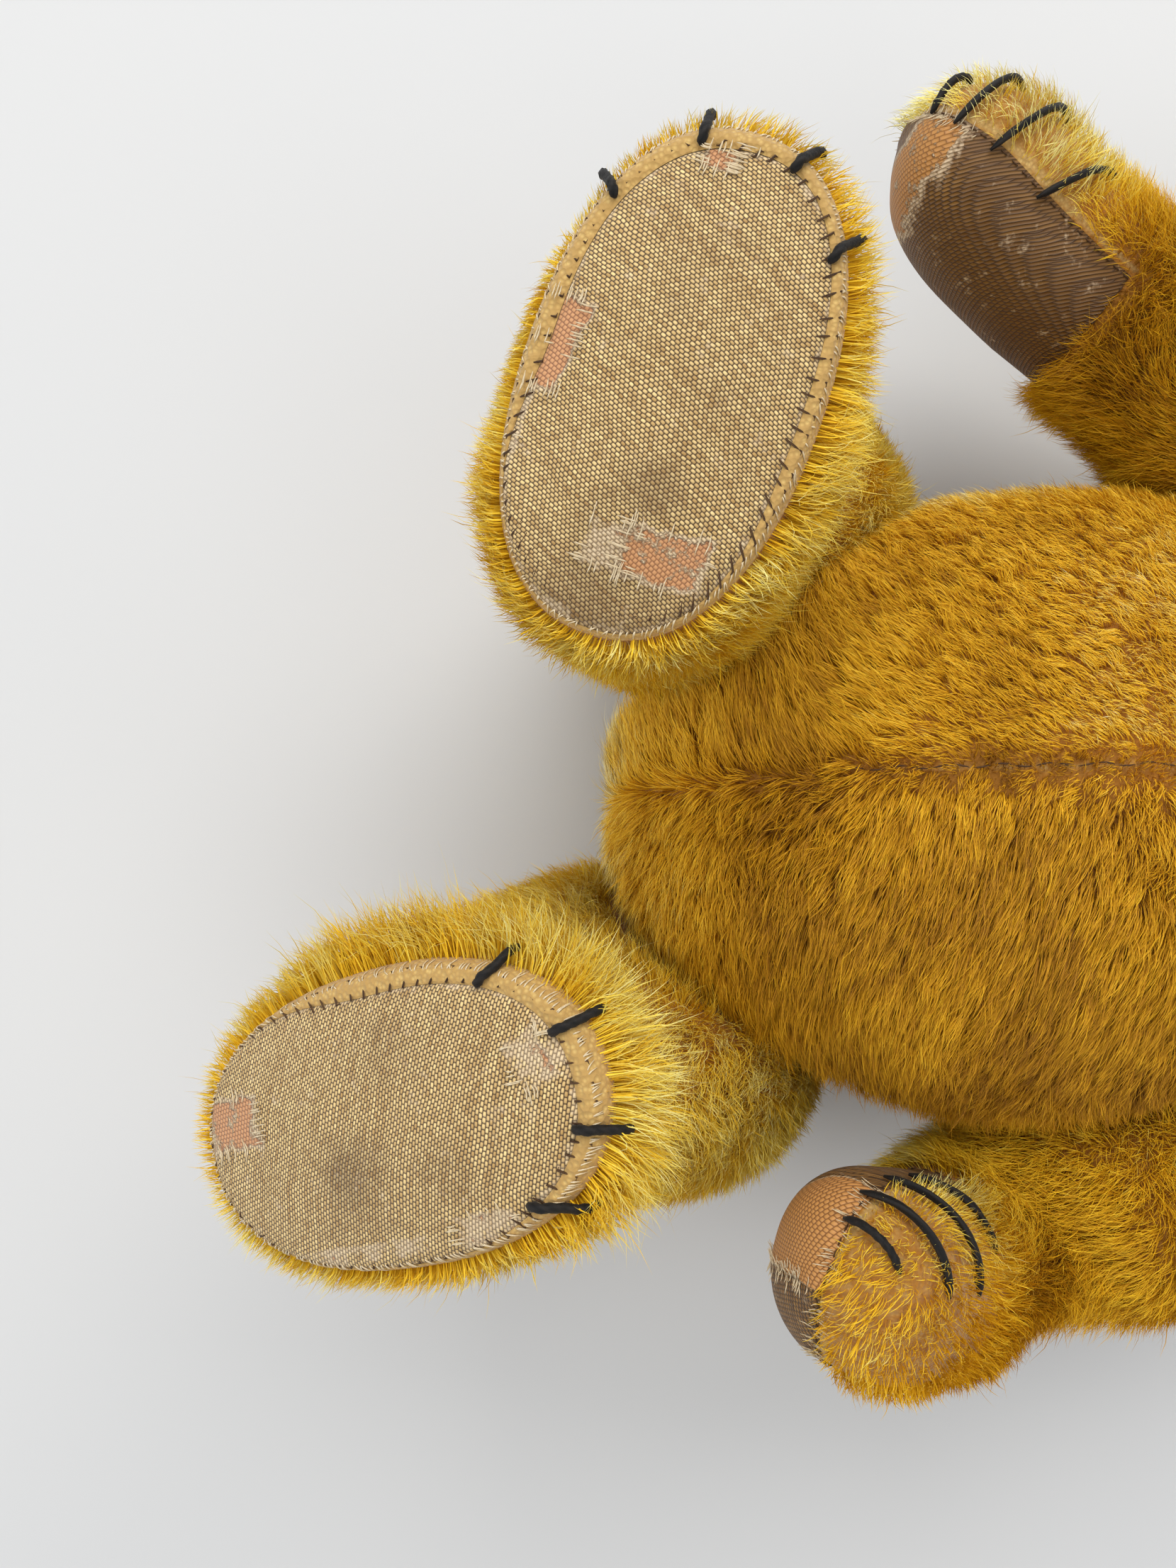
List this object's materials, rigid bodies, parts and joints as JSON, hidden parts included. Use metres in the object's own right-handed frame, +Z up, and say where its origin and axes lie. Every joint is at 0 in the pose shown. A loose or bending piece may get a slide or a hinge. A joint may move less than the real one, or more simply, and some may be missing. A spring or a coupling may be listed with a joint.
{
  "type": "jointed teddy bear",
  "caption": "Golden mohair teddy bear lying on its back with limbs raised; head, arms and legs turn on disc joints.",
  "frame": {"origin": "centre of the bounding box at the plane the back lies on", "axes": "+X towards the bear's left, +Y from the feet to the head, +Z up, the way the belly faces"},
  "size_m": [0.2106, 0.287, 0.1214],
  "materials": {
    "mohair": "long mohair pile on a woven backing",
    "pad_cloth": "smooth plain-weave pad cloth, worn",
    "thread": "black embroidery thread",
    "stuffing": "packed wood wool",
    "button_eye": "polished round eye",
    "fibreboard": "pressed fibreboard",
    "steel": "plain steel"
  },
  "bodies": {
    "torso": {"torso_cover_left": "mohair", "torso_cover_right": "mohair", "torso_stuffing": "stuffing", "neck_torso_disc": "fibreboard", "neck_torso_washer": "steel", "shoulder_left_torso_disc": "fibreboard", "shoulder_left_torso_washer": "steel", "shoulder_right_torso_disc": "fibreboard", "shoulder_right_torso_washer": "steel", "hip_left_torso_disc": "fibreboard", "hip_left_torso_washer": "steel", "hip_right_torso_disc": "fibreboard", "hip_right_torso_washer": "steel"},
    "head": {"head_side_left": "mohair", "head_side_right": "mohair", "head_gusset": "mohair", "head_stuffing": "stuffing", "ear_left": "mohair", "ear_right": "mohair", "eye_left": "button_eye", "eye_right": "button_eye", "nose_stitching": "thread", "mouth_stitching": "thread", "neck_head_disc": "fibreboard", "neck_head_washer": "steel", "neck_pin": "steel"},
    "left_arm": {"arm_left_outer_cover": "mohair", "arm_left_inner_cover": "mohair", "arm_left_paw_pad": "pad_cloth", "arm_left_claws": "thread", "arm_left_stuffing": "stuffing", "shoulder_left_arm_disc": "fibreboard", "shoulder_left_arm_washer": "steel", "shoulder_left_pin": "steel"},
    "right_arm": {"arm_right_outer_cover": "mohair", "arm_right_inner_cover": "mohair", "arm_right_paw_pad": "pad_cloth", "arm_right_claws": "thread", "arm_right_stuffing": "stuffing", "shoulder_right_arm_disc": "fibreboard", "shoulder_right_arm_washer": "steel", "shoulder_right_pin": "steel"},
    "left_leg": {"leg_left_outer_cover": "mohair", "leg_left_inner_cover": "mohair", "leg_left_sole_pad": "pad_cloth", "leg_left_claws": "thread", "leg_left_stuffing": "stuffing", "hip_left_leg_disc": "fibreboard", "hip_left_leg_washer": "steel", "hip_left_pin": "steel"},
    "right_leg": {"leg_right_outer_cover": "mohair", "leg_right_inner_cover": "mohair", "leg_right_sole_pad": "pad_cloth", "leg_right_claws": "thread", "leg_right_stuffing": "stuffing", "hip_right_leg_disc": "fibreboard", "hip_right_leg_washer": "steel", "hip_right_pin": "steel"}
  },
  "joints": [
    {"name": "neck", "type": "hinge", "parent": "torso", "child": "head", "pos_m": [0.01283, 0.06106, 0.039], "axis": [0, 1, 0], "continuous": true},
    {"name": "left_shoulder", "type": "hinge", "parent": "torso", "child": "left_arm", "pos_m": [0.05775, 0.0211, 0.04168], "axis": [-0.9133, -0.3145, -0.2588], "range_deg": [-40, 90]},
    {"name": "right_shoulder", "type": "hinge", "parent": "torso", "child": "right_arm", "pos_m": [-0.02502, 0.03695, 0.04198], "axis": [-0.8046, 0.5846, 0.1045], "range_deg": [-30, 95]},
    {"name": "left_hip", "type": "hinge", "parent": "torso", "child": "left_leg", "pos_m": [0.04211, -0.06524, 0.03713], "axis": [-0.8595, 0.4192, 0.2924], "range_deg": [-20, 20]},
    {"name": "right_hip", "type": "hinge", "parent": "torso", "child": "right_leg", "pos_m": [-0.02603, -0.04732, 0.03169], "axis": [-0.8172, -0.5722, -0.0698], "range_deg": [-45, 40]}
  ]
}
